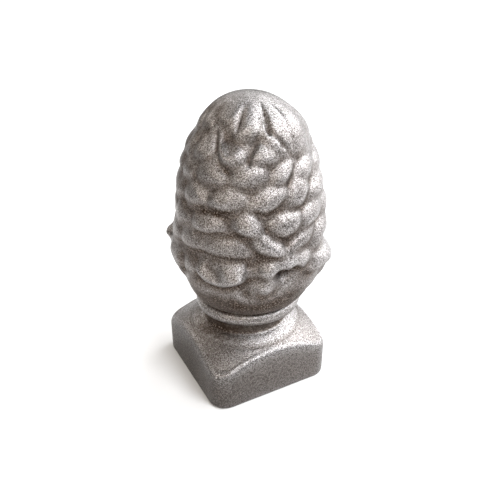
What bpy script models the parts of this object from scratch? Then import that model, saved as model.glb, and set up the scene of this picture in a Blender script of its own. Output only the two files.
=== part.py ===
"""Pine cone finial: one cast-iron piece, modelled from its own sizes.

From the top down: a cone of overlapping scales, a skirt of larger scales that flares out, a leafy bulb,
a ring, a hollow neck, and a square block with rounded corners whose top is a low dome.
Units are metres, +Z is up, and the underside of the block lies on Z = 0 with the origin at its centre.
"""
import math

import bmesh
import bpy
import numpy as np

MM = 0.001

# Block
SIDE = 50 * MM
CORNER_RADIUS = 6.8 * MM
DOME_AT_SIDE = 19.2 * MM
DOME_AT_CORNER = 14.2 * MM
TOP_FILLET = 2.2 * MM
FOOT_FILLET = 1.0 * MM

# Round step where the neck meets the dome
STEP_RADIUS = 20.6 * MM
STEP_EDGE = 21.8 * MM
STEP_HEIGHT = 0.5 * MM

# Hollow neck and ring
NECK_RADIUS = 15.3 * MM
NECK_HOLLOW = 3.3 * MM
NECK_Z = 26.0 * MM
RING_RADIUS = 20.35 * MM
RING_TUBE = 2.45 * MM
RING_Z = 31.3 * MM

# Plain body of the cone, before the scales are worked into it
GROOVE_RADIUS = 18.5 * MM
GROOVE_Z = 33.9 * MM
BELLY_RADIUS = 28.2 * MM
BELLY_Z = 55 * MM
TOP_Z = 109.7 * MM
BODY_HEIGHT_POWER = 2.1
BODY_RADIUS_POWER = 2.3
BULB_FULLNESS = 0.62

# The cone sits a little to one side of the block, as cast
LEAN = 1.75 * MM
LEAN_FROM_Z = 22 * MM
LEAN_TO_Z = 36 * MM
LEAN_AZIMUTH = math.radians(-28.4)

# Scales: the first column of the grid, and the uneven spacing around the cone
FIRST_COLUMN = math.radians(-120.4)
UNEVEN = math.radians(3.5)
UNEVEN_FROM = math.radians(-128.4)

# Worn side of the cone, where the relief is shallower
WORN_AZIMUTH = math.radians(-165)
WORN_SHARE = 0.25

# Rows of scales from the top down. Lengths in millimetres, angles in degrees:
# scales around, turn of the first scale from the first column, height of the tips, rise from a tip to the notch
# beside it, crown (height of the swelling over the plain body), valley (depth along the lower edge),
# peak (where the swelling is highest, as a share of the row from its lower edge), groove between neighbours,
# and its sharpness.
ROWS = (
    dict(count=13, turn=0, tip=96.0, rise=4.5, crown=0.2, valley=1.5, peak=0.20, top=2.6, sharp=3.4, fade=0.7,
         groove=(2.2, 1.4, 0.9, 0.7, 0.9, 0.7, 0.9, 0.7, 0.9, 0.6, 0.5, 0.6, 2.2)),
    dict(count=13, turn=13.85, tip=89.8, rise=4.5, crown=0.4, valley=1.9, peak=0.28, top=1.6, sharp=3.0, fade=1,
         groove=(2.4, 2.4, 2.0, 2.0, 2.0, 2.0, 2.0, 2.0, 2.0, 1.6, 1.4, 2.0, 2.8)),
    dict(count=13, turn=0, tip=84.3, rise=2.9, crown=0.4, valley=2.0, peak=0.28, top=1.6, sharp=2.8, fade=1,
         groove=1.8),
    dict(count=13, turn=13.85, tip=76.3, rise=3.1, crown=0.4, valley=2.2, peak=0.28, top=1.6, sharp=2.8, fade=1,
         groove=1.9),
    dict(count=13, turn=0, tip=68.4, rise=3.1, valley=2.3, peak=0.28, top=1.6, sharp=2.8, fade=1, groove=2.0,
         crown=(1.2, 0.4, 0.4, 0.5, 0.4, 0.4, 0.3, 0.4, 0.4, 0.4, 0.5, 0.4, 0.5)),
    dict(count=13, turn=13.85, tip=60.4, rise=3.1, valley=2.3, peak=0.28, top=1.6, sharp=2.8, fade=1, groove=2.0,
         crown=(0.4, 0.4, 0.4, 0.5, 0.4, 0.3, 0.4, 0.5, 0.4, 1.9, 0.4, 0.4, 0.5)),
    dict(count=8, turn=-17.3, tip=(51.5, 55.4, 47, 50, 53, 50, 47, 49), rise=4.0, peak=0.28, top=0.75,
         crown=(3.2, 2.7, 2.6, 2.3, 2.3, 2.3, 1.4, 1.6), valley=(1.8, 1.8, 2.0, 1.8, 1.8, 1.8, 1.0, 1.0),
         sharp=2.0, fade=1, groove=1.5),
    dict(count=8, turn=5.2, tip=(39.5, 41, 42, 41, 40, 42, 41, 42), rise=8.0, peak=0.40, top=1.3,
         crown=(2.0, 1.6, 1.4, 1.6, 1.6, 1.6, 1.2, 1.4), valley=1.4, sharp=2.0, fade=1, groove=2.8),
)
LIP_ROUNDNESS = 2.2

# Facets of the solid: columns around, and rings in each row of scales and each moulding
COLUMNS = 104
CORNER_SHARE = 8 / 26
RING_CROWDING = 1.15
ROW_RINGS = (5, 4, 4, 3, 3, 3, 4, 3)
BULB_RINGS = 2
RING_RINGS = 4
NECK_RINGS = 3
DOME_RINGS = 2
FILLET_RINGS = 2
FOOT_RINGS = 1

IRON_COLOR = (0.26, 0.235, 0.215, 1.0)
IRON_METALLIC = 0.85
IRON_ROUGHNESS = 0.5


def body_profile():
    """Radius and height of the plain body from the tip down to the groove, with the length along it."""
    turn = np.linspace(math.pi / 2, 0, 400)
    radius = BELLY_RADIUS * np.cos(turn) ** (2 / BODY_RADIUS_POWER)
    height = BELLY_Z + (TOP_Z - BELLY_Z) * np.sin(turn) ** (2 / BODY_HEIGHT_POWER)
    low = np.linspace(1, 0, 200)[1:]
    bulb = GROOVE_RADIUS + (BELLY_RADIUS - GROOVE_RADIUS) * (1 - (1 - low) ** 2) ** BULB_FULLNESS
    radius = np.append(radius, bulb)
    height = np.append(height, GROOVE_Z + (BELLY_Z - GROOVE_Z) * low)
    length = np.append(0, np.cumsum(np.hypot(np.diff(radius), np.diff(height))))
    return length, radius, height


LENGTH, RADIUS, HEIGHT = body_profile()
OUT_RADIUS = -np.gradient(HEIGHT, LENGTH)
OUT_HEIGHT = np.gradient(RADIUS, LENGTH)


def length_at(height):
    """Length along the body's profile at a height."""
    return np.interp(-height, -HEIGHT, LENGTH)


def body_point(length, lift):
    """Radius and height of a point lifted off the plain body along its outward normal."""
    radius = np.interp(length, LENGTH, RADIUS) + lift * np.interp(length, LENGTH, OUT_RADIUS)
    height = np.interp(length, LENGTH, HEIGHT) + lift * np.interp(length, LENGTH, OUT_HEIGHT)
    return np.maximum(radius, 0), height


def across(row, turn):
    """Place across a scale, -1 to 1, and the number of the scale, for each column's turn."""
    place = (turn - math.radians(row["turn"])) / (2 * math.pi / row["count"])
    number = np.round(place)
    return 2 * (place - number), number.astype(int) % row["count"]


def per_scale(value, number):
    """A row's value for each column: one number for the row, or one for each scale."""
    if isinstance(value, tuple):
        return np.array(value)[number]
    return np.full(number.shape, float(value))


def blended(row, key, turn):
    """A row's value at each column, running smoothly from a scale to its neighbours."""
    place, number = across(row, turn)
    beside = (number + np.sign(place).astype(int)) % row["count"]
    own = per_scale(row[key], number)
    other = per_scale(row[key], beside)
    return own + (other - own) / 2 * place ** 2


def lower_edge(row, turn):
    """Height of a row's scalloped lower edge."""
    place, _ = across(row, turn)
    swing = 0.35 * place ** 2 + 0.65 * (0.5 - 0.5 * np.cos(math.pi * place))
    return (blended(row, "tip", turn) + row["rise"] * swing) * MM


def swelling(row, share, turn, valley_above, depth):
    """Lift over the plain body at a share of the row's height, 0 at its lower edge and 1 at its upper one."""
    place, number = across(row, turn)
    notch = np.where(place < 0, number - 1, number) % row["count"]
    depth_here = per_scale(row["groove"], notch) * np.abs(place) ** row["sharp"]
    fading = min(1, max(0, (row["fade"] + 0.3 - share) / 0.35))
    peak = row["peak"]
    crown = blended(row, "crown", turn) - depth_here * fading
    if share < peak:
        valley = blended(row, "valley", turn)
        arch = math.sqrt(1 - (1 - share / peak) ** LIP_ROUNDNESS)
    else:
        valley = valley_above
        arch = rounded(1 - (share - peak) / (1 - peak), row["top"])
    return (-valley + (crown + valley) * arch) * depth * MM


def rounded(share, fullness):
    """Rise from 0 to 1: above 1 the fullness makes it convex, below 1 hollow."""
    if fullness >= 1:
        return 1 - (1 - share) ** fullness
    return share ** (1 / fullness)


def worn(turn):
    """Depth of the relief around the cone: 1, and less on the worn side."""
    azimuth = column_azimuth(turn)
    return 1 - WORN_SHARE * (0.5 + 0.5 * np.cos(azimuth - WORN_AZIMUTH)) ** 3


def column_azimuth(turn):
    """Azimuth of a column on the cone, with the uneven spacing of the scales."""
    azimuth = FIRST_COLUMN + turn
    return azimuth + UNEVEN * np.sin(4 * (azimuth - UNEVEN_FROM))


def cone_rings(turn, row_rings, bulb_rings):
    """Rings of radius and height from just under the tip down to the groove over the ring."""
    rings = []
    depth = worn(turn)
    upper = np.zeros_like(turn)
    valley_above = np.zeros_like(turn)
    for row, count in zip(ROWS, row_rings):
        lower = length_at(lower_edge(row, turn))
        for step in range(1, count + 1):
            share = (1 - step / count) ** RING_CROWDING
            lift = swelling(row, share, turn, valley_above, depth)
            rings.append(body_point(lower + (upper - lower) * share, lift))
        upper = lower
        valley_above = blended(row, "valley", turn)
    end = length_at(GROOVE_Z)
    for step in range(1, bulb_rings + 1):
        share = step / bulb_rings
        lift = -valley_above * (1 - share) * depth * MM
        rings.append(body_point(upper + (end - upper) * share, lift))
    return rings


def arc_rings(like, center_radius, center_z, radius, start, stop, count):
    """Rings along an arc of the profile, angles in degrees from straight out."""
    rings = []
    for angle in np.radians(np.linspace(start, stop, count + 1)):
        rings.append((np.full_like(like, center_radius + radius * math.cos(angle)),
                      np.full_like(like, center_z + radius * math.sin(angle))))
    return rings


def rounded_square(columns, inset):
    """Outline of the block, one point for each column, starting at the middle of the -Y side."""
    half = SIDE / 2 - inset
    center = SIDE / 2 - CORNER_RADIUS
    radius = CORNER_RADIUS - inset
    quarter = np.arange(columns) % (columns // 4) / (columns // 4)
    flat = (1 - CORNER_SHARE) / 2
    along = np.clip(quarter / flat, 0, 1) * center
    back = np.clip((1 - quarter) / flat, 0, 1) * center
    angle = np.clip((quarter - flat) / CORNER_SHARE, 0, 1) * math.pi / 2
    x = np.where(quarter < flat, along, center + radius * np.sin(angle))
    y = np.where(quarter > 1 - flat, back, center + radius * np.cos(angle))
    x = np.where(quarter > 1 - flat, half, x)
    y = np.where(quarter < flat, half, y)
    side = np.arange(columns) // (columns // 4)
    turned = side * math.pi / 2 - math.pi / 2
    return x * -np.sin(turned) + y * np.cos(turned), x * np.cos(turned) + y * np.sin(turned)


def dome_height(x, y):
    """Height of the block's domed top."""
    corner = SIDE / 2 - CORNER_RADIUS
    far = (corner * math.sqrt(2) + CORNER_RADIUS) ** 2
    near = (SIDE / 2) ** 2
    return DOME_AT_SIDE - (DOME_AT_SIDE - DOME_AT_CORNER) * (x * x + y * y - near) / (far - near)


def block_rings(azimuth, dome_rings, fillet_rings, foot_rings):
    """Rings of x, y and height from the step on the dome down to the underside's edge."""
    columns = len(azimuth)
    rings = []
    for radius, lift in ((STEP_RADIUS, STEP_HEIGHT), (STEP_EDGE, 0)):
        x, y = radius * np.cos(azimuth), radius * np.sin(azimuth)
        rings.append((x, y, dome_height(x, y) + lift))
    inner_x, inner_y = x, y
    outer_x, outer_y = rounded_square(columns, TOP_FILLET)
    for step in range(1, dome_rings + 1):
        share = step / dome_rings
        x = inner_x + (outer_x - inner_x) * share
        y = inner_y + (outer_y - inner_y) * share
        rings.append((x, y, dome_height(x, y)))
    edge_z = dome_height(*rounded_square(columns, 0)) - TOP_FILLET
    top_z = rings[-1][2]
    for step in range(1, fillet_rings + 1):
        angle = math.pi / 2 * step / fillet_rings
        x, y = rounded_square(columns, TOP_FILLET * (1 - math.sin(angle)))
        rings.append((x, y, edge_z + (top_z - edge_z) * math.cos(angle)))
    for step in range(foot_rings + 1):
        angle = math.pi / 2 * step / foot_rings
        x, y = rounded_square(columns, FOOT_FILLET * (1 - math.cos(angle)))
        rings.append((x, y, np.full_like(x, FOOT_FILLET * (1 - math.sin(angle)))))
    return rings


def lean(height):
    """Sideways shift of the cone at a height."""
    share = np.clip((height - LEAN_FROM_Z) / (LEAN_TO_Z - LEAN_FROM_Z), 0, 1)
    return LEAN * share * share * (3 - 2 * share)


def finial_rings(columns, row_rings, bulb_rings, ring_rings, neck_rings, dome_rings, fillet_rings, foot_rings):
    """All rings of the surface from the tip down to the underside's edge, as arrays of points."""
    turn = np.arange(columns) / columns * 2 * math.pi
    round_rings = cone_rings(turn, row_rings, bulb_rings)
    on_cone = len(round_rings)
    round_rings += arc_rings(turn, RING_RADIUS - RING_TUBE, RING_Z, RING_TUBE, 70, -80, ring_rings)
    round_rings += arc_rings(turn, NECK_RADIUS + NECK_HOLLOW, NECK_Z, NECK_HOLLOW, 120, 245, neck_rings)
    cone_azimuth = column_azimuth(turn)
    side_column = columns * 2 // 26
    block_azimuth = -math.pi / 2 + turn - turn[side_column]
    rings = []
    for number, (radius, height) in enumerate(round_rings):
        share = max(0, number + 1 - on_cone) / (len(round_rings) - on_cone)
        azimuth = cone_azimuth + (block_azimuth - cone_azimuth) * share
        shift = lean(height)
        x = radius * np.cos(azimuth) + shift * math.cos(LEAN_AZIMUTH)
        y = radius * np.sin(azimuth) + shift * math.sin(LEAN_AZIMUTH)
        rings.append(np.stack([x, y, height], axis=1))
    for x, y, height in block_rings(np.roll(block_azimuth, -side_column), dome_rings, fillet_rings, foot_rings):
        rings.append(np.roll(np.stack([x, y, height], axis=1), side_column, axis=0))
    return rings


def wrap_sphere(rings, tip):
    """A sphere of as many columns and rings, its vertices moved onto the form."""
    columns = len(rings[0])
    bands = len(rings) + 1
    bm = bmesh.new()
    bmesh.ops.create_uvsphere(bm, u_segments=columns, v_segments=bands, radius=1.0)
    for vert in bm.verts:
        band = round(math.acos(max(-1.0, min(1.0, vert.co.z))) / math.pi * bands)
        column = round(math.atan2(vert.co.y, vert.co.x) / (2 * math.pi) * columns) % columns
        if band == 0:
            vert.co = tip
        elif band == bands:
            vert.co = (0, 0, 0)
        else:
            vert.co = rings[band - 1][column]
    bmesh.ops.recalc_face_normals(bm, faces=bm.faces)
    return bm


def cast_iron():
    """Grey cast iron with a dull, slightly warm shine."""
    material = bpy.data.materials.new("cast_iron")
    material.use_nodes = True
    shader = material.node_tree.nodes["Principled BSDF"]
    shader.inputs["Base Color"].default_value = IRON_COLOR
    shader.inputs["Metallic"].default_value = IRON_METALLIC
    shader.inputs["Roughness"].default_value = IRON_ROUGHNESS
    material.diffuse_color = IRON_COLOR
    return material


def pine_cone_finial(collection):
    """The finial as one closed solid."""
    rings = finial_rings(COLUMNS, ROW_RINGS, BULB_RINGS, RING_RINGS, NECK_RINGS, DOME_RINGS, FILLET_RINGS,
                         FOOT_RINGS)
    tip = (LEAN * math.cos(LEAN_AZIMUTH), LEAN * math.sin(LEAN_AZIMUTH), TOP_Z)
    bm = wrap_sphere(rings, tip)
    flat = math.radians(0.05)
    bmesh.ops.dissolve_limit(bm, angle_limit=flat, use_dissolve_boundaries=False, verts=bm.verts, edges=bm.edges)
    mesh = bpy.data.meshes.new("pine_cone_finial")
    bm.to_mesh(mesh)
    bm.free()
    mesh.materials.append(cast_iron())
    mesh.shade_smooth()
    mesh.set_sharp_from_angle(angle=math.radians(50))
    finial = bpy.data.objects.new("pine_cone_finial", mesh)
    collection.objects.link(finial)
    return finial


def main():
    for item in list(bpy.data.objects):
        bpy.data.objects.remove(item)
    collection = bpy.data.collections.new("PineConeFinial")
    bpy.context.scene.collection.children.link(collection)
    finial = pine_cone_finial(collection)
    mesh = finial.data
    mesh.calc_loop_triangles()
    print("pine_cone_finial:", len(mesh.loop_triangles), "triangles")


main()
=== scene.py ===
# %% [markdown]
# # A cast-iron pine cone finial
# A finial is the small ornament on top of a post. This one is a single piece of cast iron: a square
# block with a domed top, a waisted neck, a ring and a pine cone. The lesson dresses a plain solid
# of it until it looks like real sand-cast iron. The solid comes as a fixed frame in metres, with
# its underside on Z = 0, and everything made here stays inside the solid's box. The relief could be
# sculpted by hand. It is computed here instead, so that every bump is a number that can be read,
# changed and made again.

# %% Load the frame and keep its box
import math

import bmesh
import bpy
import numpy as np
from mathutils import Matrix, Vector


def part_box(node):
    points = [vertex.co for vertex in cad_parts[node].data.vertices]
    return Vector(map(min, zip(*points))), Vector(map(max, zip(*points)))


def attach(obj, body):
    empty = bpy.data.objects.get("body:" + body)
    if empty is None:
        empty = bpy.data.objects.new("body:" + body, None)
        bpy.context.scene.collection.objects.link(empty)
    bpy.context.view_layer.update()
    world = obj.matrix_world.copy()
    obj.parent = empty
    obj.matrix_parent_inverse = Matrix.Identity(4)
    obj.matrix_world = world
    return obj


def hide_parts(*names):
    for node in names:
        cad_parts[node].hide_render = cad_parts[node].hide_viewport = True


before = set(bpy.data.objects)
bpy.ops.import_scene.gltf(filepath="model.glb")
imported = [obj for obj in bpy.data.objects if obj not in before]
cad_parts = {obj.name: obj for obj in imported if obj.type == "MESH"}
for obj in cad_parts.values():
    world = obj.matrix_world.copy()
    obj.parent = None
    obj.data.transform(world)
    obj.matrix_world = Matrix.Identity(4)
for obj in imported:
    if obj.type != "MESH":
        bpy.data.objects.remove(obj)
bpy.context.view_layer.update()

MM = 0.001
low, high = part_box("pine_cone_finial")
print("solid box in mm:", [round(c / MM, 1) for c in low], [round(c / MM, 1) for c in high])

# %% [markdown]
# ## The plain body of the cone
# Under its scales the cone is a plain egg, as a pattern maker would turn it on a lathe. In Blender
# it could be a curve with a Screw modifier. Here it is two superellipses that meet at the belly,
# because a formula also says which way is outwards at every place, and the scales rise that way.

# %% Draw the body's profile
BELLY_RADIUS = 28.2 * MM
BELLY_Z = 55 * MM
TOP_Z = 109.7 * MM
GROOVE_RADIUS = 18.5 * MM
GROOVE_Z = 33.9 * MM
BODY_HEIGHT_POWER = 2.1
BODY_RADIUS_POWER = 2.3
BULB_FULLNESS = 0.62
UPPER_POINTS = 400
LOWER_POINTS = 200


def body_profile():
    """Radius and height of the plain body from the tip to the groove, with the length along it."""
    turn = np.linspace(math.pi / 2, 0, UPPER_POINTS)
    radius = BELLY_RADIUS * np.cos(turn) ** (2 / BODY_RADIUS_POWER)
    height = BELLY_Z + (TOP_Z - BELLY_Z) * np.sin(turn) ** (2 / BODY_HEIGHT_POWER)
    down = np.linspace(1, 0, LOWER_POINTS)[1:]
    roundness = (1 - (1 - down) ** 2) ** BULB_FULLNESS
    radius = np.append(radius, GROOVE_RADIUS + (BELLY_RADIUS - GROOVE_RADIUS) * roundness)
    height = np.append(height, GROOVE_Z + (BELLY_Z - GROOVE_Z) * down)
    length = np.append(0, np.cumsum(np.hypot(np.diff(radius), np.diff(height))))
    return length, radius, height


LENGTH, RADIUS, HEIGHT = body_profile()
print("body profile is", round(LENGTH[-1] / MM, 1), "mm long")

# %% Find places on the body
OUT_RADIUS = -np.gradient(HEIGHT, LENGTH)
OUT_HEIGHT = np.gradient(RADIUS, LENGTH)


def length_at(height):
    """Length along the body's profile at a height."""
    return np.interp(-height, -HEIGHT, LENGTH)


def body_point(length, lift):
    """Radius and height of a point lifted off the plain body along its outward normal."""
    radius = np.interp(length, LENGTH, RADIUS) + lift * np.interp(length, LENGTH, OUT_RADIUS)
    height = np.interp(length, LENGTH, HEIGHT) + lift * np.interp(length, LENGTH, OUT_HEIGHT)
    return np.maximum(radius, 0), height


print("the belly is", round(float(length_at(BELLY_Z)) / MM, 1), "mm down the profile")

# %% [markdown]
# ## Rows of scales
# A pine cone's scales sit in staggered rows, and on this worn casting each is an egg-shaped mound.
# They could be separate objects joined together, but then every seam would show. So a row is only a
# record of its scales: how many there are (count), how far round the first one is turned in degrees
# (turn), the height of their middles in millimetres (z), how far they reach up and down from there,
# how wide they are (1 touches the neighbours), how full their outline is (2 is an ellipse), how
# high they stand (lift), how much they tilt out at their lower end and how much they slant
# sideways. A value may be one number for the row or one for each scale, so that the uneven scales
# of the casting keep their own character.

# %% Describe the crown and the row under it
CROWN_ROWS = (
    dict(count=13, turn=1.5, up=60, full=3, slant=0,
         tilt=(0.2, 1.6, 1.2, 0.6, 0.4, 0.4, 0.4, 0.4, 0.4, 0.2, 0.2, 0.2, 0.2),
         z=(101.5, 103, 103, 101, 101, 101, 101, 101, 101, 101, 102, 103, 104.5),
         down=(5.5, 13, 13, 9, 6, 6, 6, 6, 6, 6, 5, 4.5, 4.0),
         wide=(1.2, 1.7, 1.7, 1.6, 1.5, 1.5, 1.5, 1.5, 1.5, 1.5, 1.5, 1.5, 1.4),
         lift=(2.8, 3.2, 3.2, 2.6, 2.3, 2.3, 2.3, 2.3, 2.3, 2.0, 2.0, 2.2, 2.3)),
    dict(count=13, turn=13.85, z=93.8, up=7, down=4.0, full=2.4, tilt=0.8, slant=0,
         lift=(2.9, 1.7, 1.5, 2.1, 2.4, 2.4, 2.4, 2.4, 2.4, 2.2, 2.2, 2.5, 2.8),
         wide=(1.25, 1.3, 1.3, 1.2, 1.15, 1.15, 1.15, 1.15, 1.15, 1.15, 1.15, 1.15, 1.1)),
)
print("scales in the crown's rows:", [row["count"] for row in CROWN_ROWS])

# %% Describe the four rows around the middle
MIDDLE_ROWS = (
    dict(count=13, turn=0, down=4.0, full=2.2, tilt=0.9,
         z=(87.9, 88.6, 88.3, 88.3, 88.3, 88.3, 88.3, 88.3, 88.3, 88.3, 88.3, 88.1, 87.9),
         up=(7.4, 5.4, 6, 7, 7.4, 7.4, 7.4, 7.4, 7.4, 7.4, 7.4, 7.4, 7.4),
         lift=(2.9, 3.1, 2.9, 2.6, 2.6, 2.6, 2.6, 2.6, 2.6, 2.3, 2.3, 2.5, 2.6),
         wide=(1.2, 1.2, 1.5, 1.45, 1.4, 1.4, 1.4, 1.4, 1.4, 1.4, 1.4, 1.4, 1.3),
         slant=(0.4, 2.4, 2.2, 1.2, 0, 0.4, -0.4, 0.3, -0.3, 0, 0, 0.4, -0.4)),
    dict(count=13, turn=13.85, up=6.6, down=4.6, full=2.2, tilt=0.8,
         z=(80.7, 81.3, 80.9, 80.6, 80.6, 80.6, 80.6, 80.6, 80.6, 80.6, 80.5, 80.3, 80.1),
         lift=(3.4, 3.5, 3.1, 2.6, 2.6, 2.6, 2.6, 2.6, 2.6, 2.3, 2.3, 2.6, 2.7),
         wide=(1.5, 1.35, 1.5, 1.45, 1.4, 1.4, 1.4, 1.4, 1.4, 1.4, 1.4, 1.35, 1.2),
         slant=(1.8, 2.4, 2.4, 1.2, 0.3, -0.4, 0.4, 0, -0.3, 0, 0, -0.4, 0.6)),
    dict(count=13, turn=0, up=6.6, tilt=0.8,
         z=(72.9, 72.5, 72.9, 72.8, 72.6, 72.6, 72.6, 72.6, 72.6, 72.6, 72.6, 72.1, 71.7),
         down=(4.2, 4.7, 4.2, 4.2, 4.2, 4.2, 4.2, 4.2, 4.2, 4.2, 4.2, 4.2, 4.2),
         full=(2.2, 2.5, 2.2, 2.2, 2.2, 2.2, 2.2, 2.2, 2.2, 2.2, 2.2, 2.2, 2.2),
         lift=(3.2, 3.9, 3.3, 2.7, 2.6, 2.6, 2.6, 2.6, 2.6, 2.3, 2.3, 2.5, 2.7),
         wide=(0.9, 1.35, 1.45, 1.45, 1.4, 1.4, 1.4, 1.4, 1.4, 1.4, 1.4, 1.45, 1.2),
         slant=(-2.0, 0.8, 2.6, 1.4, -0.4, 0.3, 0.4, 0, -0.3, 0, 0, 0, 0.4)),
    dict(count=13, turn=13.85, up=6.6, down=4.2, full=2.2, tilt=0.8,
         z=(65.2, 66.2, 65.2, 64.9, 64.8, 64.8, 64.8, 64.8, 64.8, 64.8, 64.8, 64.5, 64.3),
         lift=(3.5, 3.4, 3.1, 2.7, 2.6, 2.6, 2.6, 2.6, 2.6, 2.3, 2.3, 2.4, 2.5),
         wide=(1.1, 1.5, 1.5, 1.45, 1.4, 1.4, 1.4, 1.4, 1.4, 1.4, 1.45, 1.5, 1.5),
         slant=(-3.0, 2.6, 2.2, 1.0, 0.4, -0.4, 0.3, 0, -0.3, 0, 0, 0, 0)),
)
print("scales in the middle rows:", [row["count"] for row in MIDDLE_ROWS])

# %% Describe the skirt and the bulb under it
SKIRT_ROWS = (
    dict(count=8, turn=-17.3, z=(56, 59.5, 54, 55, 57.5, 55, 52, 54), up=6, down=5, wide=1.15,
         full=2.2, lift=(2.7, 3.1, 3.3, 3.5, 3.9, 3.9, 3.7, 3.3), tilt=0.6, slant=0),
    dict(count=8, turn=5.2, z=(47, 47.5, 48, 47, 46, 48, 47, 48), up=8, down=7, wide=1.1,
         full=2.2, lift=(1.9, 1.6, 3.1, 3.1, 2.9, 2.9, 2.7, 2.3), tilt=0.2, slant=0),
)
ROWS = CROWN_ROWS + MIDDLE_ROWS + SKIRT_ROWS
print("scales in all:", sum(row["count"] for row in ROWS))

# %% [markdown]
# ## From rows to a surface
# On the casting the scales have run into each other like warm wax. In Blender such a form could be
# made with metaballs or a Remesh modifier, but both lose the grid of clean quads that later steps
# need. So these helpers answer one question for all points of the cone at once: how far does the
# surface stand off the plain body here? Where mounds meet, the higher one wins, but softly.


# %% Shape one mound
BASE_DEPTH = 1.9
ROUNDNESS = 0.8
SLANT_REACH = 1.5


def value_of(row, key, number):
    """A row's value for one of its scales."""
    value = row[key]
    return value[number] if isinstance(value, tuple) else value


def mound_height(row, number, turn, length):
    """Height in mm over the plain body of one scale's mound, far below it away from the scale."""
    half_pitch = math.pi / row["count"]
    middle = math.radians(row["turn"]) + 2 * half_pitch * number
    aside = (turn - middle + math.pi) % (2 * math.pi) - math.pi
    across = np.abs(aside) / (half_pitch * value_of(row, "wide", number))
    slanted = np.clip(aside / half_pitch, -SLANT_REACH, SLANT_REACH)
    down = (length - length_at(value_of(row, "z", number) * MM)) / MM
    down = down + value_of(row, "slant", number) * slanted
    reach = np.where(down > 0, value_of(row, "down", number), value_of(row, "up", number))
    along = down / reach
    inside = 1 - across ** value_of(row, "full", number) - along ** 2
    mound = value_of(row, "lift", number) * np.sign(inside) * np.abs(inside) ** ROUNDNESS
    return mound + value_of(row, "tilt", number) * np.clip(along, -1, 1) - BASE_DEPTH


middle = length_at(value_of(ROWS[2], "z", 0) * MM)
print("a middle scale stands", round(float(mound_height(ROWS[2], 0, 0, middle)), 2), "mm proud")

# %% Melt the mounds together
MELT = 0.2
VALLEY_DEPTH = 1.0
FAR_BELOW = -20 * MELT
# waves around the cone, radians per mm along it, and shift between the two wobbles
WOBBLES = ((9, 0.35, 0.7), (-11, 0.50, 1.9), (13, -0.28, 4.0), (6, 0.62, 2.6))
WOBBLE_TURN = math.radians(2.0)
WOBBLE_DOWN = 0.9 * MM


def wobble(turn, length, start):
    """A smooth uneven value from -1 to 1 that closes on itself around the cone."""
    total = np.zeros_like(length)
    for times_around, per_mm, shift in WOBBLES:
        total += np.sin(times_around * turn + per_mm * length / MM + shift * start)
    return total / len(WOBBLES)


def scales_height(turn, length):
    """Height in mm over the plain body of all mounds, melted together."""
    bent_turn = turn + WOBBLE_TURN * wobble(turn, length, 1)
    bent_length = length + WOBBLE_DOWN * wobble(turn, length, 2)
    total = np.full_like(length, math.exp(-VALLEY_DEPTH / MELT))
    for row in ROWS:
        for number in range(row["count"]):
            mound = mound_height(row, number, bent_turn, bent_length)
            total += np.exp(np.maximum(mound, FAR_BELOW) / MELT)
    return MELT * np.log(total)


print("mounds run into each other over about", MELT, "mm")

# %% Wear one side down
FIRST_COLUMN = math.radians(-120.4)
UNEVEN = math.radians(3.5)
UNEVEN_WAVES = 4
UNEVEN_FROM = math.radians(-128.4)
WORN_AZIMUTH = math.radians(-165)
WORN_SHARE = 0.25
WORN_NARROWNESS = 3


def column_azimuth(turn):
    """Azimuth of a column on the cone, with the uneven spacing of the scales."""
    azimuth = FIRST_COLUMN + turn
    return azimuth + UNEVEN * np.sin(UNEVEN_WAVES * (azimuth - UNEVEN_FROM))


def nearness(azimuth, middle):
    """How near an azimuth is to the middle of a side: 1 there and 0 on the opposite side."""
    return 0.5 + 0.5 * np.cos(azimuth - middle)


def worn(turn):
    """Depth of the relief around the cone: 1, and less on the worn side."""
    return 1 - WORN_SHARE * nearness(column_azimuth(turn), WORN_AZIMUTH) ** WORN_NARROWNESS


print("relief left on the worn side:", 1 - WORN_SHARE)

# %% [markdown]
# ## Chisel strokes
# A casting is never regular: it has creases, dents, a lip and a thorn. They could be pushed and cut
# with sculpting brushes. A stroke does the same in numbers. It pushes the surface out (or, below
# zero, in) along a line from place to place, and fades with the distance from the line as a bell
# curve, like a soft gouge or a bead of wax on the caster's pattern. Each stroke is its half width
# and its lift in mm, and then its places as degrees from the front, positive to the right, and a
# height in mm.

# %% List the strokes of the crown
CROWN_STROKES = (
    # grooves between the crown's petals, and the ridge on their left
    (0.9, -1.3, (-4, 108), (-10, 105), (-12.5, 101)),
    (0.7, -1.3, (22, 108.5), (20, 106), (19, 103), (20, 100)),
    (0.5, -0.5, (40, 106.5), (41, 103)),
    (4.5, 0.8, (43, 103.5), (46, 96)),
    (1.6, 0.3, (-15, 107), (-18, 103.5), (-19, 101.5)),
    # borders of the second row's scales: the big one on the right, the plain and the V-shaped one
    (0.6, -0.9, (20, 100), (26, 98), (31, 96)),
    (0.6, -0.6, (31, 96), (38, 92.5), (45, 91.5)),
    (0.7, -0.4, (45, 91.5), (58, 91.5), (84, 90.5)),
    (0.7, -1.0, (9, 99), (3, 96), (-1, 92)),
    (0.9, -0.9, (-37, 99.5), (-31, 95.5), (-24, 91), (-17, 89)),
    (0.7, 0.5, (-31, 99), (-26, 95), (-18, 92.4), (-10, 94)),
    (2.4, -0.7, (-22, 98.5), (-17, 96)),
)
print("strokes on the crown:", len(CROWN_STROKES))

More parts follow.
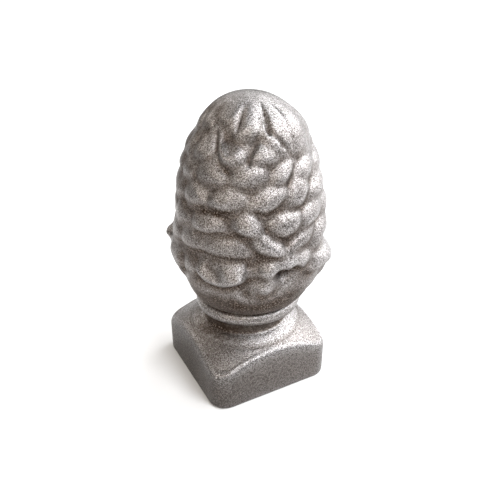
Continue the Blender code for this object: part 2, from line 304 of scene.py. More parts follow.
# %% List the strokes of the middle rows
MIDDLE_STROKES = (
    # creases between the scales of the cone's front
    (0.9, -1.0, (5, 76.5), (8, 74), (12, 71), (17, 68), (26, 65.5)),
    (0.9, -0.5, (-4, 78), (-10, 75), (-15, 71.5)),
    (0.8, -0.6, (28, 66), (37, 68.5), (48, 69.5), (70, 71)),
    (0.8, -0.4, (2, 77), (16, 77.3), (24, 76.5), (36, 76.2), (45, 77), (70, 78.5)),
    (0.9, -0.5, (-60, 77), (-35, 76), (-12, 76.5)),
    (0.9, -0.7, (-40, 68), (-23, 69), (-8, 69), (0, 66)),
    (1.2, -0.5, (-60, 60.5), (-26, 61), (0, 60.5), (26, 61)),
    # dents, a crescent and small ridges in the half-melted scales on the left
    (2.2, -0.5, (-34, 75.5), (-24, 76), (-18, 75)),
    (1.2, 0.35, (-42, 73.5), (-36, 71), (-27, 70)),
    (1.0, 0.5, (-25, 80.5), (-19, 79), (-15, 81.5)),
    (1.1, 0.4, (-52, 86), (-44, 82.5), (-38, 80)),
    (2.2, -0.4, (-40, 86.5), (-30, 84.5)),
    # the long scale that comes down in front
    (3.6, 1.1, (2, 71.5), (7, 68.5), (13, 66), (18, 65)),
    # swellings and flats that the outline shows
    (7.0, 0.4, (70, 101), (95, 97), (95, 93)),
    (4.0, 1.5, (-92, 57), (-78, 56.5)),
    (2.5, -1.0, (-94, 66.5), (-84, 64)),
    (4.0, -1.2, (-84, 45), (-64, 43.5)),
    (4.0, 0.9, (50, 46), (80, 45)),
)
print("strokes on the middle rows and the outline:", len(MIDDLE_STROKES))

# %% List the strokes of the skirt and the bulb
SKIRT_STROKES = (
    # the thorn on the left
    (1.7, 2.8, (-90, 60.0), (-86, 59.2)),
    (3.0, -1.0, (-90, 71.5), (-78, 71.5)),
    # lip at the front of the skirt and its dish
    (1.7, 1.9, (-34, 55), (-30, 52.6), (-20, 51.6), (-12, 53.4), (-6, 55)),
    (3.0, 1.5, (-12, 55), (-5, 56)),
    (2.2, -0.6, (-29, 57), (-23, 56)),
    (3.0, 1.1, (-14, 57), (-9, 56.5)),
    (1.6, -1.0, (-36, 49.5), (-28, 48), (-18, 47.6), (-6, 51)),
    (2.2, 1.4, (-46, 56.5), (-43, 54)),
    (1.8, -1.4, (-57, 57), (-55, 51)),
    # roll on the right of the skirt
    (3.4, 1.7, (16, 58.8), (36, 58.6), (50, 57.5), (64, 55.6), (76, 53.4), (86, 51)),
    (3.0, 0.8, (58, 57), (66, 55.5)),
    (2.4, 0.8, (38, 54.4), (52, 53.4)),
    (1.3, -1.0, (-1, 58.5), (-2, 53), (-2, 47)),
    # leaves of the bulb and the hollows between them
    (2.8, 2.3, (11, 56), (13.5, 53.5), (11, 51)),
    (2.2, -3.8, (22.5, 55), (26.5, 53.2), (32, 55.6)),
    (1.4, -0.9, (-6, 51.5), (-6, 48), (-2, 46)),
    (1.6, -0.7, (24, 50), (18, 46.5)),
)
STROKES = CROWN_STROKES + MIDDLE_STROKES + SKIRT_STROKES
print("strokes in all:", len(STROKES))

# %% Push the surface along the strokes
FRONT_AZIMUTH = math.radians(-118.4)
FAR_AWAY = 1.0


def stroke_height(length, azimuth):
    """Sum in mm of all the strokes at points of the body given by profile length and azimuth."""
    around = (azimuth - FRONT_AZIMUTH + math.pi) % (2 * math.pi) - math.pi
    radius = np.interp(length, LENGTH, RADIUS)
    total = np.zeros_like(length)
    for width, lift, *places in STROKES:
        nearest = np.full_like(length, FAR_AWAY)
        for (from_turn, from_z), (to_turn, to_z) in zip(places, places[1:]):
            start_turn, start = math.radians(from_turn), length_at(from_z * MM)
            span_down = length_at(to_z * MM) - start
            half_way = np.interp(start + span_down / 2, LENGTH, RADIUS)
            span_across = math.radians(to_turn - from_turn) * half_way
            reach_across, reach_down = (around - start_turn) * radius, length - start
            span = span_across ** 2 + span_down ** 2
            share = np.clip((reach_across * span_across + reach_down * span_down) / span, 0, 1)
            off = np.hypot(reach_across - span_across * share, reach_down - span_down * share)
            nearest = np.minimum(nearest, off)
        total += lift * np.exp(-(nearest / (width * MM)) ** 2)
    return total


print("widest stroke:", 2 * max(stroke[0] for stroke in STROKES), "mm")

# %% [markdown]
# ## Rings of the cone, the ring and the neck
# From its tip to the waist of the neck the finial is round, as if turned. A lathe would cut its
# form ring by ring, and the surface is described in the same way here: as rings of points from the
# tip down, all with the same number of points, so that they can be joined into a grid of quads
# later. On the cone a ring of points carries the scales, and on the mouldings it is a plain circle.


# %% Stack the cone's rings
RELIEF_FOOT_Z = 40 * MM
HEAD = 9 * MM


def cone_rings(turn, count):
    """Rings of radius and height from just under the tip down to the groove over the ring."""
    end, foot = length_at(GROOVE_Z), length_at(RELIEF_FOOT_Z)
    length = np.repeat(np.linspace(0, end, count + 1)[1:, None], len(turn), axis=1)
    turn = np.repeat(turn[None, :], count, axis=0)
    azimuth = column_azimuth(turn)
    height = scales_height(turn, length) * worn(turn) + stroke_height(length, azimuth)
    height *= np.clip((length - HEAD) / HEAD, 0, 1) * np.clip((end - length) / (end - foot), 0, 1)
    radius, z = body_point(length, height * MM)
    return [(radius[number], z[number]) for number in range(count)]


print("the smooth head is", HEAD / MM, "mm long")

# %% Stack the rings of the mouldings
RING_RADIUS = 20.35 * MM
RING_TUBE = 2.45 * MM
RING_Z = 31.3 * MM
NECK_RADIUS = 15.3 * MM
NECK_HOLLOW = 3.3 * MM
NECK_Z = 26.0 * MM


def arc_rings(like, center_radius, center_z, radius, start, stop, count):
    """Rings along an arc of the profile, angles in degrees from straight out."""
    rings = []
    for angle in np.radians(np.linspace(start, stop, count + 1)):
        rings.append((np.full_like(like, center_radius + radius * math.cos(angle)),
                      np.full_like(like, center_z + radius * math.sin(angle))))
    return rings


print("the ring is", round(2 * RING_RADIUS / MM, 1), "mm wide and the neck",
      round(2 * NECK_RADIUS / MM, 1), "mm")

# %% [markdown]
# ## Rings of the block
# The block is a square casting with rounded corners. Its top is a low dome with a flat step where
# the neck stands. A cube with a Bevel modifier could make the sides, but its points wouldn't meet
# those of the round neck. A ring with the same number of points can change from a circle to a
# rounded square without a seam.


# %% Draw the block's outline and its dome
SIDE = 50 * MM
CORNER_RADIUS = 6.8 * MM
CORNER_SHARE = 8 / 26
DOME_AT_SIDE = 19.2 * MM
DOME_AT_CORNER = 14.2 * MM


def rounded_square(columns, inset):
    """Outline of the block, one point for each column, starting at the middle of the -Y side."""
    half = SIDE / 2 - inset
    center = SIDE / 2 - CORNER_RADIUS
    radius = CORNER_RADIUS - inset
    quarter = np.arange(columns) % (columns // 4) / (columns // 4)
    flat = (1 - CORNER_SHARE) / 2
    along = np.clip(quarter / flat, 0, 1) * center
    back = np.clip((1 - quarter) / flat, 0, 1) * center
    angle = np.clip((quarter - flat) / CORNER_SHARE, 0, 1) * math.pi / 2
    x = np.where(quarter < flat, along, center + radius * np.sin(angle))
    y = np.where(quarter > 1 - flat, back, center + radius * np.cos(angle))
    x = np.where(quarter > 1 - flat, half, x)
    y = np.where(quarter < flat, half, y)
    side = np.arange(columns) // (columns // 4)
    turned = side * math.pi / 2 - math.pi / 2
    return x * -np.sin(turned) + y * np.cos(turned), x * np.cos(turned) + y * np.sin(turned)


def dome_height(x, y):
    """Height of the block's domed top."""
    corner = SIDE / 2 - CORNER_RADIUS
    far = (corner * math.sqrt(2) + CORNER_RADIUS) ** 2
    near = (SIDE / 2) ** 2
    return DOME_AT_SIDE - (DOME_AT_SIDE - DOME_AT_CORNER) * (x * x + y * y - near) / (far - near)


print("the dome would rise to", round(dome_height(0, 0) / MM, 1), "mm in the middle")

# %% Stack the rings of the block's top
STEP_RADIUS = 20.6 * MM
STEP_EDGE = 21.8 * MM
STEP_HEIGHT = 0.5 * MM
STEP_GROOVE = 0.14 * MM
GROOVE_EDGE = 22.3 * MM
TOP_FILLET = 2.2 * MM


def top_rings(azimuth, count):
    """Rings of x, y and height from the step on the dome out to the dome's rounded edge."""
    rings = []
    for radius, lift in ((STEP_RADIUS, STEP_HEIGHT), (STEP_EDGE, -STEP_GROOVE), (GROOVE_EDGE, 0)):
        x, y = radius * np.cos(azimuth), radius * np.sin(azimuth)
        rings.append((x, y, dome_height(x, y) + lift))
    inner_x, inner_y = x, y
    outer_x, outer_y = rounded_square(len(azimuth), TOP_FILLET)
    for step in range(1, count + 1):
        share = step / count
        x = inner_x + (outer_x - inner_x) * share
        y = inner_y + (outer_y - inner_y) * share
        rings.append((x, y, dome_height(x, y)))
    return rings


print("the step is", round(2 * STEP_EDGE / MM, 1), "mm wide and", STEP_HEIGHT / MM, "mm high")

# %% Stack the rings of the block's sides
FOOT_FILLET = 1.0 * MM


def side_rings(columns, top_z, fillet_count, side_count, foot_count):
    """Rings of x, y and height over the rounded edge, down the sides and around the foot."""
    rings = []
    edge_z = dome_height(*rounded_square(columns, 0)) - TOP_FILLET
    for step in range(1, fillet_count + 1):
        angle = math.pi / 2 * step / fillet_count
        x, y = rounded_square(columns, TOP_FILLET * (1 - math.sin(angle)))
        rings.append((x, y, edge_z + (top_z - edge_z) * math.cos(angle)))
    for step in range(1, side_count + 1):
        share = step / (side_count + 1)
        rings.append((x, y, edge_z + (FOOT_FILLET - edge_z) * share))
    for step in range(foot_count + 1):
        angle = math.pi / 2 * step / foot_count
        x, y = rounded_square(columns, FOOT_FILLET * (1 - math.cos(angle)))
        rings.append((x, y, np.full_like(x, FOOT_FILLET * (1 - math.sin(angle)))))
    return rings


print("the foot's edge is rounded by", FOOT_FILLET / MM, "mm")

# %% [markdown]
# ## The whole stack, a little crooked
# On the real finial the cone leans a little off the block's middle, because the two halves of the
# sand mould were not quite in line. The cone's rings are shifted sideways for it, and the neck
# takes up the shift. The columns also turn bit by bit from the cone's spacing to the block's, so
# that no quad is twisted.

# %% Gather all rings
COLUMNS = 416
SIDE_COLUMN = 32
CONE_RINGS = 164
RING_RINGS, RING_ARC = 14, (70, -80)
NECK_RINGS, NECK_ARC = 10, (120, 245)
TOP_RINGS = 8
FILLET_RINGS, SIDE_RINGS, FOOT_RINGS = 6, 8, 4
LEAN = 1.75 * MM
LEAN_AZIMUTH = math.radians(-28.4)
LEAN_FROM_Z = 22 * MM
LEAN_TO_Z = 36 * MM


def lean(height):
    """Sideways shift of the cone at a height."""
    share = np.clip((height - LEAN_FROM_Z) / (LEAN_TO_Z - LEAN_FROM_Z), 0, 1)
    return LEAN * share * share * (3 - 2 * share)


def finial_rings():
    """All rings from the tip down to the underside's edge, as arrays of points."""
    turn = np.arange(COLUMNS) / COLUMNS * 2 * math.pi
    round_rings = cone_rings(turn, CONE_RINGS)
    ring_center, neck_center = RING_RADIUS - RING_TUBE, NECK_RADIUS + NECK_HOLLOW
    round_rings += arc_rings(turn, ring_center, RING_Z, RING_TUBE, *RING_ARC, RING_RINGS)
    round_rings += arc_rings(turn, neck_center, NECK_Z, NECK_HOLLOW, *NECK_ARC, NECK_RINGS)
    cone_azimuth = column_azimuth(turn)
    block_azimuth = -math.pi / 2 + turn - turn[SIDE_COLUMN]
    rings = []
    for number, (radius, height) in enumerate(round_rings):
        share = max(0, number + 1 - CONE_RINGS) / (len(round_rings) - CONE_RINGS)
        azimuth = cone_azimuth + (block_azimuth - cone_azimuth) * share
        shift = lean(height)
        x = radius * np.cos(azimuth) + shift * math.cos(LEAN_AZIMUTH)
        y = radius * np.sin(azimuth) + shift * math.sin(LEAN_AZIMUTH)
        rings.append(np.stack([x, y, height], axis=1))
    block_rings = top_rings(np.roll(block_azimuth, -SIDE_COLUMN), TOP_RINGS)
    top_z = block_rings[-1][2]
    block_rings += side_rings(COLUMNS, top_z, FILLET_RINGS, SIDE_RINGS, FOOT_RINGS)
    for ring in block_rings:
        rings.append(np.roll(np.stack(ring, axis=1), SIDE_COLUMN, axis=0))
    return np.array(rings)


rings = finial_rings()
print("rings:", len(rings), "of", COLUMNS, "points")

# %% [markdown]
# ## Soften the relief
# Molten iron in sand loses every sharp edge, and years of weather round it further. A Smooth
# modifier could do this, but it would round the block too, whose edges are still crisp. So each
# point of the rings above the ring moulding is moved towards the middle of its four neighbours, a
# few times over.

# %% Smooth the cone
SOFT_FROM_Z = 34 * MM
SOFT_ROUNDS = 5
TIP = np.array((LEAN * math.cos(LEAN_AZIMUTH), LEAN * math.sin(LEAN_AZIMUTH), TOP_Z))


def softened(points, rounds, from_z):
    """The rings' points above a height, each moved half way to the middle of its neighbours."""
    points = points.copy()
    loose = points[:, :, 2:3] > from_z
    for _ in range(rounds):
        above = np.concatenate([np.broadcast_to(TIP, points[:1].shape), points[:-1]])
        below = np.concatenate([points[1:], points[-1:]])
        beside = np.roll(points, 1, axis=1) + np.roll(points, -1, axis=1)
        middle = (above + below + beside) / 4
        points = np.where(loose, points + (middle - points) / 2, points)
    return points


skin = softened(rings, SOFT_ROUNDS, SOFT_FROM_Z)
print("softened points:", int((skin[:, :, 2] > SOFT_FROM_Z).sum()))

# %% [markdown]
# ## One closed skin
# A casting is one closed skin with no seam and no hole. The points could be joined face by face
# from a list, but Blender's own tools do it here: a flat grid has a row of vertices for each ring,
# moving every vertex to its place rolls the grid into a tube, and welding the two side edges closes
# the seam. A fan at the tip and a flat face at the underside close the ends. The real underside is
# hidden by the post, so it stays plain.


# %% Roll a grid into the skin
def rolled_skin(skin):
    """A closed skin over the rings, and each vertex's ring and column; the tip is ring -1."""
    bm = bmesh.new()
    last = len(skin) - 1
    bmesh.ops.create_grid(bm, x_segments=COLUMNS, y_segments=last, size=1.0)
    grid = {}
    for vert in bm.verts:
        column = round((vert.co.x + 1) / 2 * COLUMNS)
        ring = round((vert.co.y + 1) / 2 * last)
        grid[ring, column] = vert
        vert.co = skin[ring, column % COLUMNS]
    seam = {grid[ring, COLUMNS]: grid[ring, 0] for ring in range(len(skin))}
    places = {vert: place for place, vert in grid.items() if place[1] < COLUMNS}
    bmesh.ops.weld_verts(bm, targetmap=seam)
    for ring in (0, last):
        rim = [grid[ring, column] for column in range(COLUMNS)]
        edges = [bm.edges.get((rim[column - 1], rim[column])) for column in range(COLUMNS)]
        cap = bmesh.ops.contextual_create(bm, geom=edges)["faces"]
        if ring == 0:
            tip = bmesh.ops.poke(bm, faces=cap)["verts"][0]
            tip.co = TIP
            places[tip] = (-1, 0)
    bmesh.ops.recalc_face_normals(bm, faces=bm.faces)
    bm.normal_update()
    return bm, [places[vert] for vert in bm.verts]


bm, places = rolled_skin(skin)
print("skin:", len(bm.verts), "vertices,", len(bm.faces), "faces, open edges:",
      sum(edge.is_boundary for edge in bm.edges))

# %% [markdown]
# ## Where painted shade, dirt and wear go
# Painted shade and dirt go into the hollows, and wear from hands and weather and a painted
# highlight go on what stands out. It could be painted on by hand, or found by an Ambient Occlusion
# node that the exported model would lose. So the skin is compared with a much smoother copy of
# itself: a point below the copy is in a hollow, and one above it stands proud. The result is stored
# in attributes that the material can read.

# %% Measure the hollows
HOLLOW_ROUNDS = 45


def measured_hollows(bm, places, skin, rounds):
    """How deep each vertex lies under a smoothed copy of the skin, in millimetres."""
    smooth = softened(skin, rounds, 0)
    depths = np.zeros(len(places))
    for number, (vert, (ring, column)) in enumerate(zip(bm.verts, places)):
        if ring >= 0:
            off = smooth[ring, column] - skin[ring, column]
            depths[number] = np.dot(off, vert.normal) / MM
    return depths


hollow = measured_hollows(bm, places, skin, HOLLOW_ROUNDS)
print("hollows from", round(hollow.min(), 2), "to", round(hollow.max(), 2), "mm")

# %% [markdown]
# ## Painted shade in the neck and on one side
# The neck under the ring is counted as deeper than it is, so that it gets a painted shadow, but the
# part of the neck that faces up is counted as nearly flat. One side of the finial is darker than
# the others, partly from a real stain and partly from painted shade where it turns from the light,
# but not on the block's top. A painted mask would need a picture, so a cosine of the azimuth makes
# the stain and its shade fade out evenly.

# %% Mark the neck's painted shadow and the side with stain and painted shade
NECK_UP_FROM = 0.5
NECK_UP_SPAN = 0.3
NECK_SHADE = 0.6
SHADE_KEPT_FACING_UP = 0.2
STAIN_AND_SHADE_AZIMUTH = math.radians(-185)
STAIN_AND_SHADE_NARROWNESS = 2
spots = np.array([vert.co for vert in bm.verts])
upward = np.array([vert.normal.z for vert in bm.verts])
in_neck = (spots[:, 2] > LEAN_FROM_Z) & (spots[:, 2] < RING_Z - RING_TUBE)
neck_turned_up = np.clip((upward - NECK_UP_FROM) / NECK_UP_SPAN, 0, 1)
# painted shadow under the ring: the neck counts as deeper, less where it faces up to the light
neck_shade_depth = (hollow + NECK_SHADE) * (1 - neck_turned_up) + SHADE_KEPT_FACING_UP * hollow * neck_turned_up
hollow = np.where(in_neck, neck_shade_depth, hollow)
scales = (spots[:, 2] > LEAN_FROM_Z).astype(float)
around = np.arctan2(spots[:, 1], spots[:, 0])
# partly a real stain, partly painted shade on the side turned from the light; on the block only the
# sides that do not face up
stained = nearness(around, STAIN_AND_SHADE_AZIMUTH) ** STAIN_AND_SHADE_NARROWNESS
stained *= np.where(scales > 0, 1, 1 - np.maximum(upward, 0))
print("vertices in the neck:", int(in_neck.sum()), "over the block:", int(scales.sum()))

# %% Make the object
mesh = bpy.data.meshes.new("finial_skin")
for vert in bm.verts:
    vert.co = [min(max(c, a), b) for c, a, b in zip(vert.co, low, high)]
bm.to_mesh(mesh)
bm.free()
mesh.shade_smooth()
MARKS = (("hollow", hollow), ("upward", upward), ("scales", scales), ("stained", stained))
for name, values in MARKS:
    mark = mesh.attributes.new(name, "FLOAT", "POINT")
    mark.data.foreach_set("value", values.astype(np.float32))
finial = bpy.data.objects.new("finial_skin", mesh)
bpy.context.scene.collection.objects.link(finial)
mesh.calc_loop_triangles()
print("finial:", len(mesh.loop_triangles), "triangles")

# %% [markdown]
# ## Sand-cast iron
# The iron has a grain of about a third of a millimetre from the sand of the mould, with a finer one
# inside it, and patches some millimetres wide from the weather. A photo of iron could be wrapped
# around the piece, but it would show seams and repeat itself. Noise on Object coordinates has
# neither and sticks to the piece.

# %% Start the material and its patterns
iron = bpy.data.materials.new("sand_cast_iron")
iron.use_nodes = True
nodes, links = iron.node_tree.nodes, iron.node_tree.links
shader = nodes["Principled BSDF"]
place = nodes.new("ShaderNodeTexCoord")


def noise(scale, detail, roughness):
    """A noise pattern on Object coordinates, its features about 1/scale metres wide."""
    node = nodes.new("ShaderNodeTexNoise")
    node.inputs["Scale"].default_value = scale
    node.inputs["Detail"].default_value = detail
    node.inputs["Roughness"].default_value = roughness
    links.new(place.outputs["Object"], node.inputs["Vector"])
    return node.outputs["Fac"]


def attribute(name):
    """One of the skin's own attributes."""
    node = nodes.new("ShaderNodeAttribute")
    node.attribute_name = name
    return node.outputs["Fac"]


grain = noise(scale=1900, detail=3, roughness=0.7)
fine = noise(scale=4200, detail=2, roughness=0.6)
patches = noise(scale=110, detail=4, roughness=0.65)
depth, facing_up, on_scales, stain_and_shade_mark = (attribute(name) for name, values in MARKS)
print("patterns and attributes:", len(nodes), "nodes")

# %% [markdown]
# ## Painted shade and dirt in the hollows
# Dark brown colour fills the hollows and the undersides, thicker in some patches than in others. It
# is painted shade where little light gets in, together with some real dirt. Each such place is a
# number from 0 to 1 here. It could be baked into a picture, but Map Range and Math nodes turn the
# attributes into it while the render runs, so that it stays sharp from near. Below, a range of
# values is followed by the range it becomes.

# %% Put values together


def ramp(value, reach, share=(0.0, 1.0)):
    """Value rescaled from the two ends of reach to the two ends of share, and held there."""
    node = nodes.new("ShaderNodeMapRange")
    for name, end in zip(("From Min", "From Max", "To Min", "To Max"), (*reach, *share)):
        node.inputs[name].default_value = end
    links.new(value, node.inputs["Value"])
    return node.outputs["Result"]


def joined(operation, *values):
    """Sockets or numbers put together one after the other by an arithmetic operation."""
    total = values[0]
    for value in values[1:]:
        node = nodes.new("ShaderNodeMath")
        node.operation = operation
        for socket, part in zip(node.inputs, (total, value)):
            if isinstance(part, float):
                socket.default_value = part
            else:
                links.new(part, socket)
        total = node.outputs["Value"]
    return total


on_block = joined("SUBTRACT", 1.0, on_scales)
print("nodes with the block's share:", len(nodes))

# %% Find the places of painted shade and dirt
STAIN_AND_SHADE_DEPTH = (0.38, 0.62), (0.05, 0.65)
SHADE_AND_DIRT_IN_HOLLOW = (0.15, 1.0), (0.0, 1.0)
SHADE_AND_DIRT_IN_PATCH = (0.35, 0.60), (0.45, 1.0)
SHADE_AND_DIRT_AT_STEP = (0.04, 0.25), (0.0, 0.6)
SHADE_AND_DIRT_UNDERNEATH = (0.1, -0.4), (0.0, 1.0)
SHADE_AND_DIRT_UNDER_PATCH = (0.3, 0.55), (0.8, 1.0)
SHADE_AND_DIRT_ON_PROUD = (-0.5, -0.05), (0.2, 1.0)
# painted shade, partly real dirt: hollows, undersides and the step's groove get dark, more on the
# stained and shaded side
deeper = joined("ADD", depth, joined("MULTIPLY", stain_and_shade_mark, ramp(patches, *STAIN_AND_SHADE_DEPTH)))
hollow_shade_and_dirt = joined("MULTIPLY", ramp(deeper, *SHADE_AND_DIRT_IN_HOLLOW), on_scales)
step_shade_and_dirt = joined("MULTIPLY", ramp(depth, *SHADE_AND_DIRT_AT_STEP), on_block)
underside_shade_and_dirt = joined("MULTIPLY", ramp(facing_up, *SHADE_AND_DIRT_UNDERNEATH),
                    ramp(patches, *SHADE_AND_DIRT_UNDER_PATCH), ramp(depth, *SHADE_AND_DIRT_ON_PROUD))
patchy_shade_and_dirt = joined("MULTIPLY", hollow_shade_and_dirt, ramp(patches, *SHADE_AND_DIRT_IN_PATCH))
shade_and_dirt = joined("MAXIMUM", patchy_shade_and_dirt, underside_shade_and_dirt, step_shade_and_dirt)
print("nodes with the dirt:", len(nodes))

# %% [markdown]
# ## Worn iron, painted highlights and plain iron
# Iron is brightest on what stands proud, where it is rubbed and also given a painted highlight, and
# on the crown and on what faces up, where the brightness is a painted highlight. It stays dull in
# the hollows and on the stained, shaded side. Two materials could be layered, but a metal's look is
# mostly its colour, so one shader is enough, with a colour between plain and worn, highlit iron.

# %% Mix the worn iron and its painted highlights in
PLAIN_IRON = (0.30, 0.270, 0.250)
WORN_AND_HIGHLIT_IRON = (0.72, 0.70, 0.695)
WORN_AND_HIGHLIT_PROUD = (0.2, -0.8), (0.0, 0.85)
HIGHLIT_TOPS = (0.45, 1.0), (0.0, 0.5)
HIGHLIT_CROWN = (0.15, 0.75), (0.0, 0.82)
KEPT_IN_HOLLOW = (0.0, 0.6), (1.0, 0.0)
KEPT_IN_STAIN_AND_SHADE = (0.2, 1.0), (1.0, 0.75)


def mixed(share, first, second):
    """A colour between first and second, each a socket or a colour."""
    node = nodes.new("ShaderNodeMix")
    node.data_type = "RGBA"
    links.new(share, node.inputs["Factor"])
    for socket, value in ((node.inputs[6], first), (node.inputs[7], second)):
        if isinstance(value, tuple):
            socket.default_value = (*value, 1.0)
        else:
            links.new(value, socket)
    return node.outputs[2]


# painted highlight on the crown and on what faces up; on what stands proud, real wear and painted
# highlight together
crown = joined("MULTIPLY", ramp(facing_up, *HIGHLIT_CROWN), on_scales)
bright = joined("MAXIMUM", ramp(depth, *WORN_AND_HIGHLIT_PROUD), ramp(facing_up, *HIGHLIT_TOPS), crown)
stain_and_shade_on_scales = joined("MULTIPLY", stain_and_shade_mark, on_scales)
bright = joined("MULTIPLY", bright, ramp(hollow_shade_and_dirt, *KEPT_IN_HOLLOW),
                ramp(stain_and_shade_on_scales, *KEPT_IN_STAIN_AND_SHADE))
iron_color = mixed(bright, PLAIN_IRON, WORN_AND_HIGHLIT_IRON)
print("nodes with the worn iron:", len(nodes))

# %% [markdown]
# ## Pits, stain and painted shade
# The sand leaves dark pits between its grains. The block's sides are darker still, with a stain and
# a painted shade for sides turned from the light, which lie over the pits, most of all on the left.
# The pits could be cut into the mesh, but at a third of a millimetre they would take millions of
# faces, so they are only a darker colour here and a bump further on.

# %% Mix the pits, the stain and its painted shade in
PIT = (0.075, 0.062, 0.054)
STAIN_AND_SHADE_COLOR = (0.024, 0.020, 0.017)
FINE_PITS = (0.58, 0.42)
GRAIN_PITS = (0.52, 0.36)
STAIN_AND_SHADE_IN_PATCH = (0.38, 0.60), (0.92, 1.05)
SHADE_ON_SIDES = (0.6, 0.2), (0.0, 0.38)
iron_color = mixed(ramp(fine, FINE_PITS), iron_color, PIT)
iron_color = mixed(ramp(grain, GRAIN_PITS), iron_color, PIT)
# painted shade on the block's sides, darkest on the left away from the light, together with a real
# stain
side_stain_and_shade = joined("MULTIPLY", stain_and_shade_mark, ramp(patches, *STAIN_AND_SHADE_IN_PATCH))
side_stain_and_shade = joined("MAXIMUM", side_stain_and_shade, ramp(facing_up, *SHADE_ON_SIDES))
side_stain_and_shade = joined("MULTIPLY", side_stain_and_shade, on_block)
iron_color = mixed(side_stain_and_shade, iron_color, STAIN_AND_SHADE_COLOR)
print("nodes with the pits and the stain:", len(nodes))

# %% [markdown]
# ## Rubbed grains
# Where the dirt, the stain and their painted shade are thin, the highest grains of the casting show
# through as light specks. Single grains could be scattered as small pieces. The grain pattern
# already knows where they are, so its highest values let the rubbed iron through, less so in the
# deepest hollows, where the painted shade is darkest.

# %% Lay the dirt with its painted shade and let the grains through
SHADE_AND_DIRT_COLOR = (0.032, 0.020, 0.013)
RUBBED = (0.42, 0.345, 0.295)
RUBBED_GRAINS = (0.53, 0.66), (0.0, 0.9)
RUBBED_IN_DEEP = (0.9, 1.4), (1.0, 0.2)
RUBBED_IN_STAIN_AND_SHADE = 0.35
# lays the painted shade, partly real dirt, in its dark brown colour
iron_color = mixed(shade_and_dirt, iron_color, SHADE_AND_DIRT_COLOR)
covered = joined("MAXIMUM", shade_and_dirt, joined("MULTIPLY", side_stain_and_shade, RUBBED_IN_STAIN_AND_SHADE))
rubbed = joined("MULTIPLY", ramp(grain, *RUBBED_GRAINS), covered, ramp(depth, *RUBBED_IN_DEEP))
links.new(mixed(rubbed, iron_color, RUBBED), shader.inputs["Base Color"])
print("nodes with the dirt laid:", len(nodes))

# %% [markdown]
# ## Shine and grain
# Bare iron is a metal with a soft shine. Where dirt and painted shade lie it is rougher, and the
# stain with its painted shade hides the metal. The sand's grain could be displaced geometry. A bump
# is chosen, because it only bends the light and keeps the skin light enough to use.

# %% Set the shine and the bump
METAL_IN_SHADE_AND_DIRT = (0.0, 1.0), (1.0, 0.8)
METAL_IN_STAIN_AND_SHADE = (0.3, 1.0), (1.0, 0.15)
ROUGH_IN_SHADE_AND_DIRT = (0.0, 1.0), (0.30, 0.6)
SPECULAR = 0.15
FINE_SHARE = 0.4
BUMP_STRENGTH = 0.9
BUMP_HEIGHT = 0.22 * MM
metal = joined("MULTIPLY", ramp(shade_and_dirt, *METAL_IN_SHADE_AND_DIRT), ramp(side_stain_and_shade, *METAL_IN_STAIN_AND_SHADE))
links.new(metal, shader.inputs["Metallic"])
links.new(ramp(shade_and_dirt, *ROUGH_IN_SHADE_AND_DIRT), shader.inputs["Roughness"])
shader.inputs["Specular IOR Level"].default_value = SPECULAR
bump = nodes.new("ShaderNodeBump")
bump.inputs["Strength"].default_value = BUMP_STRENGTH
bump.inputs["Distance"].default_value = BUMP_HEIGHT
relief = joined("ADD", grain, joined("MULTIPLY", fine, FINE_SHARE))
links.new(relief, bump.inputs["Height"])
links.new(bump.outputs["Normal"], shader.inputs["Normal"])
mesh.materials.append(iron)
print("material nodes:", len(nodes))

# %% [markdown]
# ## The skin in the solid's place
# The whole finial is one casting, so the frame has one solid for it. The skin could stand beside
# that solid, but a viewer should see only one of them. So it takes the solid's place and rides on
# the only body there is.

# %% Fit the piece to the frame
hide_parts("pine_cone_finial")
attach(finial, "root")
print("finial_skin rides on root")

# %% [markdown]
# ## A pale floor
# The photograph shows the finial cut out against white. It could float in front of nothing, but a
# soft shadow tells the eye that it stands. So a plain pale disc lies under it. Further out, where
# the lights no longer reach, the disc glows more and more and ends in pure white.

# %% Lay the floor
FLOOR_RADIUS = 1.2
FLOOR_POINTS = 96
FLOOR_COLOR = (0.8, 0.8, 0.8)
FLOOR_ROUGHNESS = 0.9
GLOW_REACH = (0.65, 1.05)
floor_mesh = bpy.data.meshes.new("floor")
bm = bmesh.new()
bmesh.ops.create_circle(bm, cap_ends=True, segments=FLOOR_POINTS, radius=FLOOR_RADIUS)
bm.to_mesh(floor_mesh)
bm.free()
floor = bpy.data.objects.new("floor", floor_mesh)
bpy.context.scene.collection.objects.link(floor)
pale = bpy.data.materials.new("pale_floor")
pale.use_nodes = True
# from here on the helpers for nodes work in the floor's material
nodes, links = pale.node_tree.nodes, pale.node_tree.links
shader = nodes["Principled BSDF"]
shader.inputs["Base Color"].default_value = (*FLOOR_COLOR, 1.0)
shader.inputs["Roughness"].default_value = FLOOR_ROUGHNESS
shader.inputs["Emission Color"].default_value = (1.0, 1.0, 1.0, 1.0)
distance = nodes.new("ShaderNodeVectorMath")
distance.operation = "LENGTH"
links.new(nodes.new("ShaderNodeTexCoord").outputs["Object"], distance.inputs[0])
links.new(ramp(distance.outputs["Value"], GLOW_REACH), shader.inputs["Emission Strength"])
floor_mesh.materials.append(pale)
print("floor is", round(floor.dimensions.x, 1), "m wide")

# %% [markdown]
# ## Soft light
# In the photograph the finial looks lit by large cool windows: the brightest is high on the right
# and makes the crown and the right of the cone shine, a low one lights the block's right side, a
# smaller one stands in front and a weak one behind. Two walls on the left give warm light back. A
# sky picture could light the scene, but area lights can be moved one by one until each side of the
# piece is as bright as in the photograph.

# %% Hang the lights
LIGHT_AIM = Vector((0, 0, 50 * MM))
LIGHT_DISTANCE = 0.9
COOL = (0.95, 0.97, 1.0)
WHITE = (1.0, 1.0, 1.0)
WARM = (1.0, 0.935, 0.86)
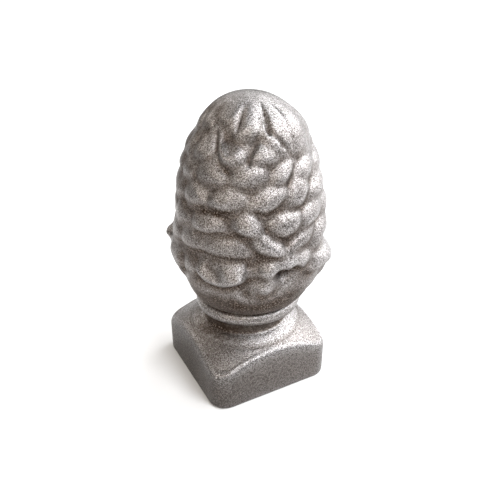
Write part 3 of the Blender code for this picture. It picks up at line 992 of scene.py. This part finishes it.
# name, azimuth and elevation in degrees, width and height in metres, power in watts, colour
LIGHTS = (
    ("low_window", -8, 12, 1.0, 0.5, 5.0, COOL),
    ("front_window", -68, 50, 0.4, 0.4, 8.2, COOL),
    ("high_window", 3, 42, 0.8, 0.8, 11.8, COOL),
    ("back_window", 56, 37, 1.0, 0.6, 3.1, WHITE),
    ("front_wall", -145, 35, 0.35, 0.25, 4.0, WARM),
    ("left_wall", 122, 38, 0.8, 0.6, 3.0, WARM),
)
for name, azimuth, elevation, width, height, power, color in LIGHTS:
    light = bpy.data.lights.new(name, "AREA")
    light.shape = "RECTANGLE"
    light.size = width
    light.size_y = height
    light.energy = power
    light.color = color
    holder = bpy.data.objects.new(name, light)
    bpy.context.scene.collection.objects.link(holder)
    turn, tilt = math.radians(azimuth), math.radians(elevation)
    level = Vector((math.cos(turn), math.sin(turn), 0)) * math.cos(tilt)
    away = level + Vector((0, 0, math.sin(tilt)))
    holder.location = LIGHT_AIM + away * LIGHT_DISTANCE
    holder.rotation_euler = away.to_track_quat("Z", "Y").to_euler()

# %% [markdown]
# ## A white surround
# Behind the finial the photograph is plain white. A white world would show that, but it would also
# light the piece from all sides and flatten it. A Light Path node tells what is seen directly from
# what lights the scene, so the surround can look white and still give hardly any light.

# %% Surround the scene
SKY_COLOR = (0.9, 0.93, 1.0)
SKY_LIGHT = 0.03
SKY_SEEN = 1.2
world = bpy.data.worlds.new("studio")
bpy.context.scene.world = world
world.use_nodes = True
nodes, links = world.node_tree.nodes, world.node_tree.links
background = nodes["Background"]
background.inputs["Color"].default_value = (*SKY_COLOR, 1.0)
seen = nodes.new("ShaderNodeLightPath").outputs["Is Camera Ray"]
links.new(ramp(seen, (0.0, 1.0), (SKY_LIGHT, SKY_SEEN)), background.inputs["Strength"])
print("world nodes:", len(nodes))

# %% [markdown]
# ## Camera
# The photograph was taken from a hand's breadth in front and a little above. A camera could be
# placed by eye, but its direction, its distance, the point it aims at and its lens were measured on
# the block's edges, so these numbers place it.

# %% Place the camera
VIEW_AZIMUTH = math.radians(-28.41)
VIEW_ELEVATION = math.radians(27.79)
VIEW_DISTANCE = 199.9 * MM
AIM_RIGHT = 2.06 * MM
AIM_Z = 50.53 * MM
SENSOR = 36
LENS = 37.86
right = Vector((math.cos(VIEW_AZIMUTH), math.sin(VIEW_AZIMUTH), 0))
back = Vector((math.sin(VIEW_AZIMUTH) * math.cos(VIEW_ELEVATION),
               -math.cos(VIEW_AZIMUTH) * math.cos(VIEW_ELEVATION), math.sin(VIEW_ELEVATION)))
up = back.cross(right)
camera = bpy.data.cameras.new("camera")
camera.lens = LENS
camera.sensor_width = SENSOR
camera.clip_start = MM
camera_holder = bpy.data.objects.new("camera", camera)
bpy.context.scene.collection.objects.link(camera_holder)
spot = right * AIM_RIGHT + Vector((0, 0, AIM_Z)) + back * VIEW_DISTANCE
turned = Matrix((right, up, back)).transposed().to_4x4()
camera_holder.matrix_world = Matrix.Translation(spot) @ turned
bpy.context.scene.camera = camera_holder
bpy.context.scene.view_settings.view_transform = "Standard"
print("camera at", [round(c / MM) for c in spot], "mm")
